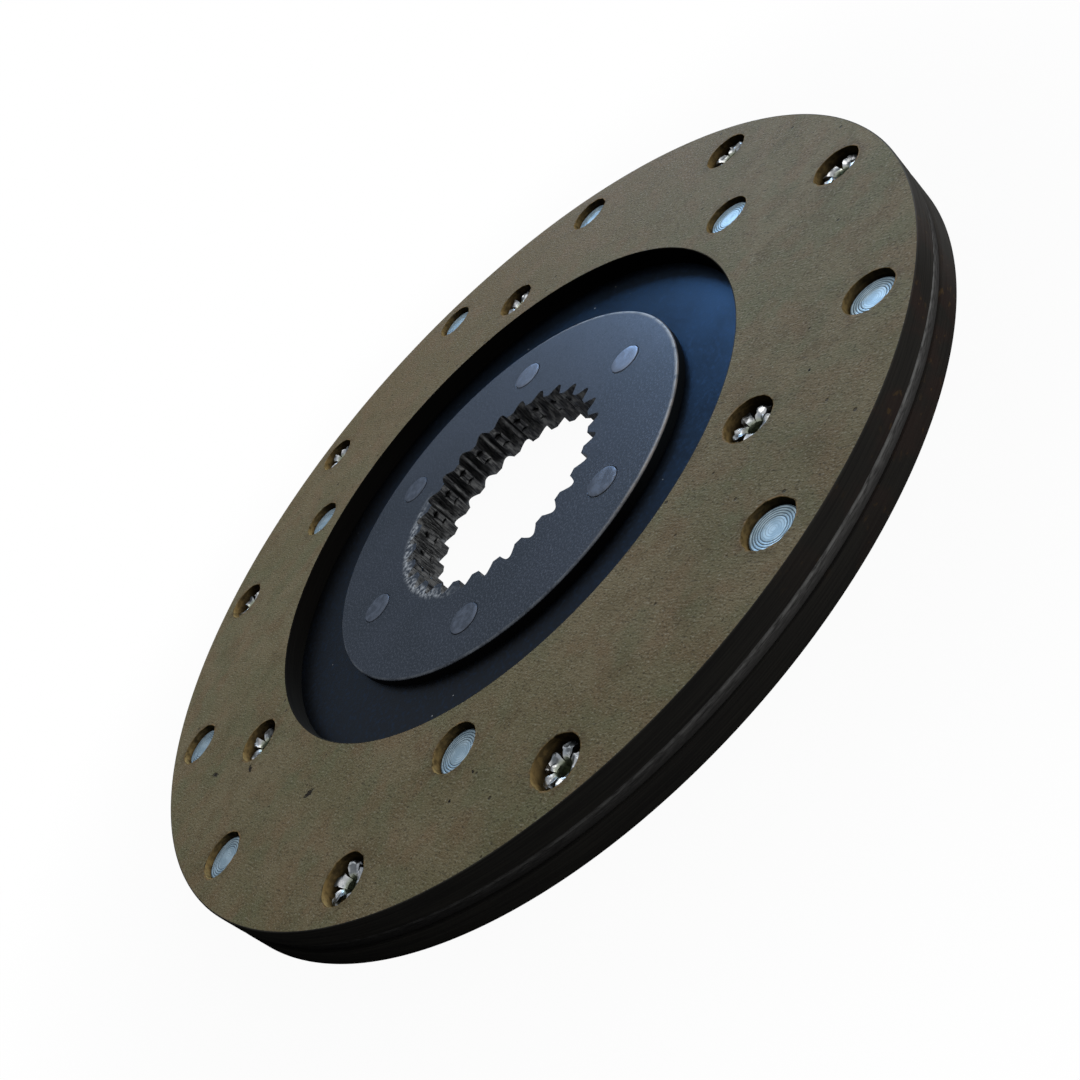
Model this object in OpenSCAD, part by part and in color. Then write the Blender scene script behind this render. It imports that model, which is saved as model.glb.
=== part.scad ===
// Dry brake disc for a tractor: a steel core plate with a friction lining riveted to
// each side and a splined hub of three plates riveted together.
// The disc lies flat with its axis along Z, and the origin is at its centre.

/* [Linings] */
// Outer diameter of the friction linings
lining_outer_d = 223; // [215:1:240]
// Inner diameter of the friction linings
lining_inner_d = 139.6; // [130:0.2:150]
// Thickness of one lining
lining_t = 5.1; // [4.6:0.1:8]
// Width of the broken edges round the friction face
lining_bevel = 0.3; // [0.1:0.1:0.8]

/* [Core plate] */
// Thickness of the core plate
core_t = 3; // [2:0.1:6]
// How far the rim of the core plate stays inside that of the linings
core_inset = 0.4; // [0.1:0.1:2]

/* [Hub] */
// Outer diameter of the two hub plates
hub_plate_d = 105.6; // [100:0.2:118]
// Thickness of the front hub plate
front_hub_t = 2.5; // [2:0.1:4.2]
// Thickness of the back hub plate
back_hub_t = 4; // [2:0.1:4.4]
// Width of the bevels round a hub plate
hub_bevel = 0.4; // [0.1:0.1:0.8]
// Diameter of the circle that the hub rivets stand on
hub_rivet_circle_d = 81.8; // [78:0.2:88]
// Number of hub rivets
hub_rivet_count = 6; // [3:1:8]
// Angle of the first hub rivet
hub_rivet_angle = -7.9; // [-30:0.1:30]
// Diameter of the shank of a hub rivet
hub_shank_d = 6.4; // [5:0.1:7]
// How much wider the flush end of a hub rivet is than its shank
hub_flare = 1.7; // [0.6:0.1:2]
// How deep the flush end of a hub rivet is let into the hub plate
hub_flare_depth = 1.4; // [0.6:0.1:1.8]
// How far the end of a hub rivet stands above the hub plate
hub_rivet_proud = 0.25; // [0.1:0.05:0.6]

/* [Spline] */
// Number of teeth
spline_teeth = 27; // [24:1:29]
// Pitch diameter divided by the number of teeth
spline_module = 2.1167; // [2:0.0001:2.2]
// Pressure angle
spline_pressure = 30; // [28:0.5:32]
// Angle of the middle of the first groove
spline_angle = 5; // [0:0.1:13]

/* [Lining rivets] */
// Distance from the rim of the lining to the outer circle of rivets
outer_rivet_edge = 9.9; // [8:0.1:13]
// Distance from the inner edge of the lining to the inner circle of rivets
inner_rivet_edge = 11.1; // [8:0.1:13]
// Diameter of the counterbore in the friction face
counterbore_d = 11; // [10:0.1:12]
// Thickness of lining that is left under the rivet heads
grip_t = 1.9; // [1:0.1:2.2]
// Diameter of the rivet shank
shank_d = 5; // [4.4:0.1:5.4]
// Wall of the tubular end
tube_wall = 0.9; // [0.6:0.05:1.1]
// Depth of the tube below the clinched rim
tube_depth = 3; // [1.5:0.1:5]
// Thickness of the rivet head
head_t = 1.6; // [0.8:0.1:2.4]
// Width of the broken edge of the rivet head
head_bevel = 0.2; // [0.1:0.05:0.4]
// Gap between the rivet head and the wall of the counterbore
head_gap = 0.35; // [0.1:0.05:0.6]
// Gap between the clinched rim and the wall of the counterbore
clinch_gap = 0.35; // [0.2:0.05:0.6]
// Number of petals that the tube splits into when it is clinched
petals = 5; // [4:1:8]
// Width of the split between two petals at their tips
split_w = 2.2; // [0.8:0.1:2.4]

/* [Fits] */
// Gap round the shanks in their holes
shank_gap = 0.1; // [0.05:0.05:0.3]

/* [Hidden] */
$fn = 96;
cut = 1;
steps = 6;
curl_steps = 8;

core_z = core_t / 2;
face_z = core_z + lining_t;
seat_z = core_z + grip_t;

outer_r = lining_outer_d / 2;
inner_r = lining_inner_d / 2;
core_r = outer_r - core_inset;

pitch_r = spline_teeth * spline_module / 2;
base_r = pitch_r * cos(spline_pressure);
tip_r = (spline_teeth - 1) * spline_module / 2;
root_r = (spline_teeth + 1.8) * spline_module / 2;
root_round = 0.4 * spline_module;
flank_end_r = root_r - root_round / 2;

hub_shank_r = hub_shank_d / 2;
hub_end_r = hub_shank_r + hub_flare / 2;
front_hub_z = core_z + front_hub_t;
back_hub_z = core_z + back_hub_t;

shank_r = shank_d / 2;
bore_r = shank_r - tube_wall;
head_r = counterbore_d / 2 - head_gap;
clinch_r = counterbore_d / 2 - clinch_gap;
curl_r = (clinch_r - bore_r) / 2;
curl_centre_r = bore_r + curl_r;

// The lining rivets stand in threes: one on the inner circle, two on the outer one
rivet_count = 18;
rivets_in_group = 3;
group_turn = 360 / (rivet_count / rivets_in_group);
group_circle_r = [inner_r + inner_rivet_edge, outer_r - outer_rivet_edge, outer_r - outer_rivet_edge];
group_angle = [0, group_turn / 4, 3 * group_turn / 4];
petal_turn = 23;

function rivet_r(i) = group_circle_r[(i - 1) % rivets_in_group];
function rivet_angle(i) = group_turn * floor((i - 1) / rivets_in_group) + group_angle[(i - 1) % rivets_in_group];
function head_in_front(i) = i % 2 == 0;

// Involute of the base circle, and half the width of a groove in degrees at radius r
function involute(a) = tan(a) * 180 / PI - a;
function groove_half(r) = 90 / spline_teeth + involute(spline_pressure) - involute(acos(base_r / r));
function on_circle(r, a) = [r * cos(a), r * sin(a)];
function flank_r(k) = tip_r + (flank_end_r - tip_r) * k / steps;

// One tooth space of the spline, from inside the tooth tips out to its rounded root
module groove_outline() {
    inside = on_circle(tip_r - cut, groove_half(tip_r));
    one_side = concat([inside], [for (k = [0 : steps]) on_circle(flank_r(k), groove_half(flank_r(k)))]);
    other_side = [for (k = [len(one_side) - 1 : -1 : 0]) [one_side[k].x, -one_side[k].y]];
    polygon(concat(one_side, other_side));
    translate([root_r - root_round, 0])
        circle(r = root_round);
}

// The cutter for a splined bore of height h
module splined_bore(h) {
    cylinder(r = tip_r, h = h);
    for (k = [0 : spline_teeth - 1])
        rotate(spline_angle + 360 / spline_teeth * k)
            linear_extrude(h)
                groove_outline();
}

module at_lining_rivet(i) {
    rotate(rivet_angle(i))
        translate([rivet_r(i), 0, 0])
            children();
}

module at_hub_rivet(i) {
    rotate(hub_rivet_angle + 360 / hub_rivet_count * (i - 1))
        translate([hub_rivet_circle_d / 2, 0, 0])
            children();
}

// The middle plate, from the spline out to the rim
module core_plate() {
    color("#232f42")
        difference() {
            translate([0, 0, -core_z])
                cylinder(r = core_r, h = core_t, $fn = 240);
            translate([0, 0, -core_z - cut])
                splined_bore(core_t + 2 * cut);
            for (i = [1 : hub_rivet_count])
                at_hub_rivet(i)
                    translate([0, 0, -core_z - cut])
                        cylinder(r = hub_shank_r + shank_gap, h = core_t + 2 * cut);
            for (i = [1 : rivet_count])
                at_lining_rivet(i)
                    translate([0, 0, -core_z - cut])
                        cylinder(r = shank_r + shank_gap, h = core_t + 2 * cut);
        }
}

// A hub plate of thickness t on the front of the core plate
module hub_plate(t) {
    r = hub_plate_d / 2;
    top_z = core_z + t;
    color("#4b5566")
        difference() {
            translate([0, 0, core_z])
                rotate_extrude($fn = 180)
                    polygon([
                        [0, 0],
                        [r - hub_bevel / 2, 0],
                        [r, hub_bevel / 2],
                        [r, t - hub_bevel],
                        [r - hub_bevel, t],
                        [0, t]
                    ]);
            translate([0, 0, core_z - cut])
                splined_bore(t + 2 * cut);
            for (i = [1 : hub_rivet_count])
                at_hub_rivet(i)
                    rotate_extrude()
                        polygon([
                            [0, core_z - cut],
                            [hub_shank_r + shank_gap, core_z - cut],
                            [hub_shank_r + shank_gap, top_z - hub_flare_depth],
                            [hub_end_r + shank_gap, top_z],
                            [hub_end_r + shank_gap, top_z + cut],
                            [0, top_z + cut]
                        ]);
        }
}

// A friction lining on the front of the core plate, with its stepped rivet holes
module lining() {
    color("#676052")
        difference() {
            rotate_extrude($fn = 240)
                polygon([
                    [inner_r, core_z],
                    [outer_r, core_z],
                    [outer_r, face_z - lining_bevel],
                    [outer_r - lining_bevel, face_z],
                    [inner_r + lining_bevel, face_z],
                    [inner_r, face_z - lining_bevel]
                ]);
            for (i = [1 : rivet_count])
                at_lining_rivet(i) {
                    translate([0, 0, core_z - cut])
                        cylinder(r = shank_r + shank_gap, h = grip_t + 2 * cut);
                    translate([0, 0, seat_z])
                        cylinder(r = counterbore_d / 2, h = face_z - seat_z + cut);
                }
        }
}

// A solid rivet that holds the three hub plates, with both ends let in and hammered flush
module hub_rivet() {
    color("#667085")
        rotate_extrude()
            polygon([
                [0, -back_hub_z - hub_rivet_proud],
                [hub_end_r - hub_rivet_proud, -back_hub_z - hub_rivet_proud],
                [hub_end_r, -back_hub_z],
                [hub_shank_r, -back_hub_z + hub_flare_depth],
                [hub_shank_r, front_hub_z - hub_flare_depth],
                [hub_end_r, front_hub_z],
                [hub_end_r - hub_rivet_proud, front_hub_z + hub_rivet_proud],
                [0, front_hub_z + hub_rivet_proud]
            ]);
}

// The points of an arc of the curled rim, of radius r, from the angle a to the angle b
function curl_arc(r, a, b) = [
    for (k = [0 : curl_steps])
        [curl_centre_r, -seat_z] + on_circle(r, a + (b - a) * k / curl_steps)
];

// Half the section of a tubular rivet, with its head in front and its rim curled over behind
module rivet_section() {
    polygon(concat(
        [[0, tube_depth - seat_z], [bore_r, tube_depth - seat_z]],
        curl_arc(curl_r, 180, 360),
        curl_arc(curl_r - tube_wall, 360, 180),
        [
            [shank_r, seat_z],
            [head_r, seat_z],
            [head_r, seat_z + head_t - head_bevel],
            [head_r - head_bevel, seat_z + head_t],
            [0, seat_z + head_t]
        ]
    ));
}

// The splits that part the curled rim into petals, wider toward the tips
module splits() {
    apex_r = bore_r - tube_wall / 3;
    open_r = clinch_r + cut;
    open_w = split_w * (open_r - apex_r) / (clinch_r - apex_r);
    for (k = [0 : petals - 1])
        rotate(360 / petals * k)
            translate([0, 0, -seat_z - curl_r - cut])
                linear_extrude(curl_r + cut)
                    polygon([[apex_r, 0], [open_r, -open_w / 2], [open_r, open_w / 2]]);
}

// A tubular rivet through both linings and the core plate
module lining_rivet(i) {
    color("#a9b3bd")
        mirror([0, 0, head_in_front(i) ? 0 : 1])
            rotate(petal_turn * i)
                difference() {
                    rotate_extrude()
                        rivet_section();
                    rotate(180 / petals)
                        splits();
                }
}

core_plate();
hub_plate(front_hub_t);  // front_hub_plate
mirror([0, 0, 1]) hub_plate(back_hub_t);  // back_hub_plate
lining();  // front_lining
mirror([0, 0, 1]) lining();  // back_lining
for (i = [1 : hub_rivet_count])
    at_hub_rivet(i) hub_rivet();
for (i = [1 : rivet_count])
    at_lining_rivet(i) lining_rivet(i);
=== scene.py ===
"""Looks of a dry brake disc: two friction linings riveted to a steel core with a splined hub.

The disc lies flat with its axis along Z. Sizes are in millimetres and are brought to metres
when a piece is finished.
"""

import logging
import math
import random
from dataclasses import dataclass
from enum import Enum
from functools import partial
from typing import Any, Callable, Optional, Sequence

import bmesh
import bpy
from mathutils import Matrix, Vector, noise


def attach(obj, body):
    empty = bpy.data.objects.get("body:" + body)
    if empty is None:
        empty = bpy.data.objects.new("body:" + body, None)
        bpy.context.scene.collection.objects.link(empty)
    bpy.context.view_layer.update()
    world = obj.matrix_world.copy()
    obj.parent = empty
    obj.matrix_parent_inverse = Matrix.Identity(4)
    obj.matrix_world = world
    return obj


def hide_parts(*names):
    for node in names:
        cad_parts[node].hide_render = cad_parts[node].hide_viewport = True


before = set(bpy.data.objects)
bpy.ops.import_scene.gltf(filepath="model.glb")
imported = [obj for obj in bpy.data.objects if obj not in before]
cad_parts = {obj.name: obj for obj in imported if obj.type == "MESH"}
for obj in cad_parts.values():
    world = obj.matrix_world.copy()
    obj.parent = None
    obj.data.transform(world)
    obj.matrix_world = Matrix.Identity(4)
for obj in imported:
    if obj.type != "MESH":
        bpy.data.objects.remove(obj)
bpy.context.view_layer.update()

log = logging.getLogger("brake_disc")

MM = 0.001
# Faces round the rims, the drilled holes and the turned rivets
RIM_SIDES = 360
HOLE_SIDES = 48
TURNED_SIDES = 56
# Corners sharper than this stay sharp
SHARP_ANGLE = math.radians(32)
# Vertices nearer to each other than this are one
MERGE_WITHIN = 0.004
# Values that the rivets' vertices carry for their finish
HOLLOW = "hollow"
LOW_SHADE = "grime"
TURNED_R = "turned_r"

Point = tuple[float, float]
Socket = bpy.types.NodeSocket
# A pattern, the value where it starts and the one where it is full
Band = tuple[Socket, float, float]


class Side(Enum):
    """The two faces of the disc."""

    FRONT = 1
    BACK = -1


class Element(Enum):
    """The elements of a mesh that are picked."""

    EDGE = "edges"
    FACE = "faces"


# Sizes and places


@dataclass(frozen=True)
class DiscSizes:
    """Sizes of the disc in millimetres.

    Each _r is a radius, each _t a thickness, and each _z a height above or below the middle.
    """

    outer_r: float = 111.45
    inner_r: float = 69.8
    lining_edge: float = 0.3
    core_r: float = 111.0
    core_z: float = 1.5
    core_edge: float = 0.35
    face_z: float = 6.6
    seat_z: float = 3.4
    hub_r: float = 52.8
    hub_edge: float = 0.5
    front_hub_z: float = 4.0
    back_hub_z: float = 5.5
    counterbore_r: float = 5.5
    shank_r: float = 2.5
    shank_gap: float = 0.1
    tube_bore_r: float = 1.6
    tube_bottom: float = 3.0
    head_r: float = 5.15
    head_t: float = 1.6
    hub_shank_r: float = 3.2
    hub_end_r: float = 4.05
    hub_flare_depth: float = 1.4
    hub_rivet_proud: float = 0.25
    hub_rivet_circle_r: float = 40.9
    hub_rivet_angle: float = -7.9
    hub_rivet_count: int = 6


@dataclass(frozen=True)
class Spline:
    """The involute spline through the three hub plates."""

    teeth: int = 27
    module: float = 2.1167
    pressure: float = math.radians(30)
    first_groove: float = math.radians(5)
    root_modules: float = 1.8
    round_modules: float = 0.4
    round_half: float = 60
    flank_steps: int = 6
    root_steps: int = 6
    land_steps: int = 5

    @property
    def tip_r(self) -> float:
        """Radius of the tooth tips."""
        return (self.teeth - 1) * self.module / 2

    @property
    def root_r(self) -> float:
        """Radius of the groove bottoms."""
        return (self.teeth + self.root_modules) * self.module / 2

    def groove_half(self, radius: float) -> float:
        """Half the width of a groove at a radius.

        Args:
            radius: Where it is measured.

        Returns:
            The half width as an angle in radians.
        """
        base_r = self.teeth * self.module / 2 * math.cos(self.pressure)
        at = math.acos(base_r / radius)
        return (
            math.pi / 2 / self.teeth
            + math.tan(self.pressure) - self.pressure
            - (math.tan(at) - at)
        )

    def outline(self) -> list[Point]:
        """The closed outline of the splined bore.

        Returns:
            Its points in order, as x and y.
        """
        round_r = self.round_modules * self.module
        end_r = self.root_r - round_r / 2
        flank = [
            self.tip_r + (end_r - self.tip_r) * k / self.flank_steps
            for k in range(self.flank_steps + 1)
        ]
        points: list[Point] = []
        for groove in range(self.teeth):
            middle = self.first_groove + math.tau / self.teeth * groove
            polar = [(r, middle - self.groove_half(r)) for r in flank]
            for k in range(1, self.root_steps):
                turn = math.radians(-self.round_half + 2 * self.round_half * k / self.root_steps)
                along = self.root_r - round_r + round_r * math.cos(turn)
                across = round_r * math.sin(turn)
                polar.append((math.hypot(along, across), middle + math.atan2(across, along)))
            polar += [(r, middle + self.groove_half(r)) for r in reversed(flank)]
            land_start = middle + self.groove_half(self.tip_r)
            land_end = middle + math.tau / self.teeth - self.groove_half(self.tip_r)
            for k in range(1, self.land_steps):
                polar.append((self.tip_r, land_start + (land_end - land_start) * k / self.land_steps))
            points += [(r * math.cos(a), r * math.sin(a)) for r, a in polar]
        return points


@dataclass(frozen=True)
class RivetPlace:
    """Where one rivet stands, and which side its head is on."""

    number: int
    x: float
    y: float
    head: Side = Side.FRONT

    def distance(self, point: Vector) -> float:
        """How far a point is from the rivet's axis."""
        return math.hypot(point.x - self.x, point.y - self.y)


@dataclass(frozen=True)
class RivetPattern:
    """The circles that the rivets stand on: one rivet inside, then two outside, six times."""

    inner_circle_r: float = 80.9
    outer_circle_r: float = 101.6
    outer_angles: tuple[float, float] = (15.0, 45.0)
    groups: int = 6

    def group(self, number: int) -> list[Point]:
        """The places of one group of three.

        Args:
            number: Which group, from 0.

        Returns:
            The places as x and y, the inner one first.
        """
        first = 360 / self.groups * number
        polar = [(self.inner_circle_r, math.radians(first))]
        polar += [(self.outer_circle_r, math.radians(first + angle)) for angle in self.outer_angles]
        return [(radius * math.cos(angle), radius * math.sin(angle)) for radius, angle in polar]

    def lining_rivets(self) -> list[RivetPlace]:
        """Finds the lining rivets, their heads in front and behind by turns.

        Returns:
            Their places in order round the disc.
        """
        spots = [spot for number in range(self.groups) for spot in self.group(number)]
        return [
            RivetPlace(number, x, y, Side.BACK if number % 2 else Side.FRONT)
            for number, (x, y) in enumerate(spots, 1)
        ]

    @staticmethod
    def hub_rivets(sizes: DiscSizes) -> list[RivetPlace]:
        """Finds the hub rivets.

        Args:
            sizes: The disc's sizes, with the circle that they stand on.

        Returns:
            Their places in order round the hub.
        """
        radius, count = sizes.hub_rivet_circle_r, sizes.hub_rivet_count
        angles = [math.radians(sizes.hub_rivet_angle + 360 / count * k) for k in range(count)]
        return [
            RivetPlace(number, radius * math.cos(angle), radius * math.sin(angle))
            for number, angle in enumerate(angles, 1)
        ]


# Modelling moves


def start_ring(name: str, radius: float, z: float, sides: int) -> bpy.types.Object:
    """Adds a ring of edges as a new object and opens it for editing.

    Args:
        name: The piece's name.
        radius: Radius of the ring.
        z: Its height.
        sides: Number of edges.

    Returns:
        The new object, in edit mode, with the ring selected.
    """
    if bpy.context.mode != "OBJECT":
        bpy.ops.object.mode_set(mode="OBJECT")
    bpy.ops.object.select_all(action="DESELECT")
    bpy.ops.mesh.primitive_circle_add(vertices=sides, radius=radius, location=(0, 0, z))
    piece = bpy.context.object
    piece.name = piece.data.name = name
    bpy.ops.object.transform_apply(location=True, rotation=True, scale=True)
    bpy.ops.object.mode_set(mode="EDIT")
    bpy.ops.mesh.select_mode(type="EDGE")
    bpy.ops.mesh.select_all(action="SELECT")
    return piece


def add_ring(radius: float, z: float, sides: int, centre: Point = (0, 0)) -> None:
    """Adds one more ring of edges to the piece that is being edited.

    Args:
        radius: Radius of the ring.
        z: Its height.
        sides: Number of edges.
        centre: Where its middle is, as x and y.
    """
    bpy.ops.mesh.primitive_circle_add(
        vertices=sides, radius=radius, location=(centre[0], centre[1], z)
    )


def pick(
    piece: bpy.types.Object,
    kind: Element,
    place: Callable[[Vector], bool],
    also: Optional[Callable[[Any], bool]] = None,
) -> int:
    """Selects the edges or faces that lie in a place.

    Args:
        piece: The object that is being edited.
        kind: Which elements to select.
        place: Says of a vertex whether it lies there. All of an element's have to.
        also: A second test, on the element itself.

    Returns:
        How many were selected.
    """
    bpy.ops.mesh.select_mode(type=kind.name)
    bpy.ops.mesh.select_all(action="DESELECT")
    mesh = bmesh.from_edit_mesh(piece.data)
    inside = {v.index for v in mesh.verts if place(v.co)}
    count = 0
    for part in getattr(mesh, kind.value):
        if all(v.index in inside for v in part.verts) and (also is None or also(part)):
            part.select_set(True)
            count += 1
    bmesh.update_edit_mesh(piece.data)
    return count


def is_open(edge: bmesh.types.BMEdge) -> bool:
    """True for an edge that has a free side."""
    return len(edge.link_faces) < 2


def is_corner(edge: bmesh.types.BMEdge) -> bool:
    """True for an edge where two faces meet at a sharp angle."""
    return edge.calc_face_angle(0) > SHARP_ANGLE


def near(value: float, wanted: float, within: float = 0.02) -> bool:
    """True if a size is as wanted."""
    return abs(value - wanted) < within


def off_axis(point: Vector) -> float:
    """How far a point is from the disc's axis."""
    return math.hypot(point.x, point.y)


def extrude_edges(step: tuple[float, float, float] = (0, 0, 0)) -> None:
    """Extrudes the selected edges by a step."""
    bpy.ops.mesh.extrude_edges_move(TRANSFORM_OT_translate={"value": step})


def scale_about(factor: float, centre: tuple[float, float, float]) -> None:
    """Scales what is selected in the plane of the disc, about a centre."""
    bpy.ops.transform.resize(value=(factor, factor, 1), center_override=centre)


def close_and_face_outward() -> None:
    """Merges doubled vertices of the piece that is being edited and turns its faces outward."""
    bpy.ops.mesh.select_all(action="SELECT")
    bpy.ops.mesh.remove_doubles(threshold=MERGE_WITHIN)
    bpy.ops.mesh.normals_make_consistent(inside=False)


def bevel(
    piece: bpy.types.Object, place: Callable[[Vector], bool], width: float, segments: int = 2
) -> None:
    """Bevels the corners that lie in a place.

    Args:
        piece: The object that is being edited.
        place: Says of a vertex whether it lies there.
        width: Width of the bevel.
        segments: Number of faces across it.
    """
    if pick(piece, Element.EDGE, place, is_corner):
        bpy.ops.mesh.bevel(offset=width, offset_type="OFFSET", segments=segments, clamp_overlap=True)


def leave_editing(piece: bpy.types.Object) -> None:
    """Closes edit mode and leaves only one piece selected.

    Args:
        piece: That piece.
    """
    if bpy.context.mode != "OBJECT":
        bpy.ops.object.mode_set(mode="OBJECT")
    bpy.ops.object.select_all(action="DESELECT")
    piece.select_set(True)
    bpy.context.view_layer.objects.active = piece


def apply_modifier(piece: bpy.types.Object, kind: str, **settings: Any) -> None:
    """Adds a modifier to a piece and applies it.

    Args:
        piece: The piece.
        kind: The modifier's type.
        settings: Its properties.
    """
    leave_editing(piece)
    made = piece.modifiers.new(kind.lower(), kind)
    for key, value in settings.items():
        setattr(made, key, value)
    bpy.ops.object.modifier_apply(modifier=made.name)


def wrinkle_at(point: Vector) -> Vector:
    """A smooth push in three directions, read from the noise at three places far apart."""
    return Vector([noise.noise(point + Vector((0.0, 0.0, shift))) for shift in (0.0, 31.4, 57.7)])


def finish_piece(piece: bpy.types.Object, smooth_below: float = SHARP_ANGLE) -> None:
    """Brings a piece to metres, and shades it smooth with its flat faces kept flat.

    Args:
        piece: The piece, in millimetres.
        smooth_below: Corners flatter than this are shaded as one surface.
    """
    leave_editing(piece)
    piece.scale = (MM, MM, MM)
    bpy.ops.object.transform_apply(location=True, rotation=True, scale=True)
    bpy.ops.object.shade_smooth_by_angle(angle=smooth_below)
    apply_modifier(piece, "WEIGHTED_NORMAL", keep_sharp=True)


def copy_piece(piece: bpy.types.Object, name: str) -> bpy.types.Object:
    """Copies a piece with a mesh of its own.

    Args:
        piece: The piece to copy.
        name: The copy's name.

    Returns:
        The copy, selected and active.
    """
    leave_editing(piece)
    bpy.ops.object.duplicate(linked=False)
    copy = bpy.context.object
    copy.name = copy.data.name = name
    return copy


def mirror_in_z(piece: bpy.types.Object) -> None:
    """Mirrors a piece's mesh top to bottom, and faces it outward again.

    Args:
        piece: The piece, which is left selected.
    """
    leave_editing(piece)
    bpy.ops.object.mode_set(mode="EDIT")
    bpy.ops.mesh.select_all(action="SELECT")
    bpy.ops.transform.resize(value=(1, 1, -1), center_override=(0, 0, 0))
    bpy.ops.mesh.normals_make_consistent(inside=False)
    leave_editing(piece)


def stand(piece: bpy.types.Object, place: RivetPlace, turn: float) -> None:
    """Turns a rivet about its axis and moves it to its place.

    Args:
        piece: The rivet, on the disc's axis.
        place: Its place.
        turn: How far it is turned, in radians.
    """
    piece.rotation_euler.z = turn
    piece.location = (place.x, place.y, 0)
    leave_editing(piece)
    bpy.ops.object.transform_apply(location=True, rotation=True, scale=True)


def turned(name: str, profile: Sequence[Point], sides: int = TURNED_SIDES) -> bpy.types.Object:
    """Makes a closed turned piece from its profile.

    Args:
        name: The piece's name.
        profile: Radius and height of each ring, from one end to the other.
        sides: Number of faces round it.

    Returns:
        The piece, in object mode.
    """
    radius, z = profile[0]
    piece = start_ring(name, radius, z, sides)
    for next_radius, next_z in profile[1:]:
        extrude_edges((0, 0, next_z - z))
        scale_about(next_radius / radius, (0, 0, next_z))
        radius, z = next_radius, next_z
    for end_radius, end_z in (profile[0], profile[-1]):
        pick(
            piece,
            Element.EDGE,
            lambda p: near(p.z, end_z) and near(off_axis(p), end_radius),
            is_open,
        )
        bpy.ops.mesh.edge_face_add()
    close_and_face_outward()
    leave_editing(piece)
    return piece


def hand_over(
    piece: bpy.types.Object, materials: Sequence[bpy.types.Material], slot: str, *nodes: str
) -> None:
    """Gives a piece its finish and its place in the frame.

    Args:
        piece: The finished piece.
        materials: Its finishes, in the order of its faces' material numbers.
        slot: The record's material slot, which is not used.
        nodes: The CAD nodes that it stands for.
    """
    numbers = [face.material_index for face in piece.data.polygons]
    piece.data.materials.clear()
    for material in materials:
        piece.data.materials.append(material)
    piece.data.polygons.foreach_set("material_index", numbers)
    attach(piece, "root")
    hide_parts(*nodes)
    log.info("%s: %d faces", piece.name, len(piece.data.polygons))


# Finishes


def linear(code: str) -> tuple[float, float, float, float]:
    """Turns an sRGB hex colour to linear.

    Args:
        code: The colour, such as "#665d4e".

    Returns:
        Red, green, blue and alpha.
    """
    parts = [int(code[k : k + 2], 16) / 255 for k in (1, 3, 5)]
    red, green, blue = (c / 12.92 if c <= 0.04045 else ((c + 0.055) / 1.055) ** 2.4 for c in parts)
    return red, green, blue, 1.0


def add_node(
    tree: bpy.types.NodeTree, kind: str, inputs: Any = (), out: Any = 0, **settings: Any
) -> Optional[Socket]:
    """Adds a shader node with its settings and links.

    Args:
        tree: The node tree.
        kind: The node's type without its ShaderNode prefix.
        inputs: What goes into its inputs, in their order or by name or number: a value, a hex
            colour, or the socket that feeds it.
        out: Number or name of the output that is wanted.
        settings: The node's properties.

    Returns:
        The output, or nothing for a node that has none.
    """
    made = tree.nodes.new("ShaderNode" + kind)
    for key, value in settings.items():
        setattr(made, key, value)
    for key, value in inputs.items() if isinstance(inputs, dict) else enumerate(inputs):
        if isinstance(value, bpy.types.NodeSocket):
            tree.links.new(value, made.inputs[key])
        else:
            made.inputs[key].default_value = linear(value) if isinstance(value, str) else value
    return made.outputs[out] if made.outputs else None


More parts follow.
